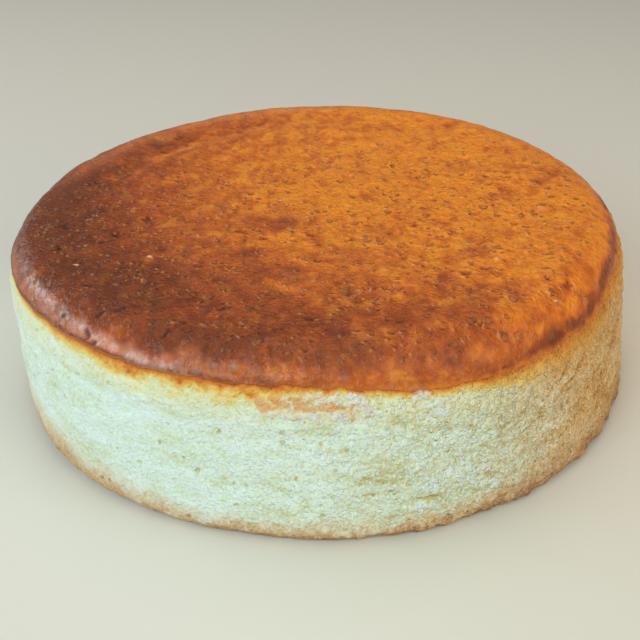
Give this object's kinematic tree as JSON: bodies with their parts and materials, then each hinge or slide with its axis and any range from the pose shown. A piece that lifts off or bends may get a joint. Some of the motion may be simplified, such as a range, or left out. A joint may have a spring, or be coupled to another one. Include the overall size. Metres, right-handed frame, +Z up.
{
  "type": "cheesecake",
  "caption": "Whole round souffle cheesecake: low pale porous side, soft rounded shoulder and mottled browned skin over the top, standing on its flat base",
  "frame": {"origin": "On the surface the cake stands on, under the middle of its outline", "axes": "+Z up, -Y towards the side that the picture shows, +X to the right seen from there"},
  "size_m": [0.1812, 0.1796, 0.0517],
  "materials": {
    "cake": "satin"
  },
  "bodies": {
    "root": {"cheesecake": "cake"}
  },
  "joints": []
}
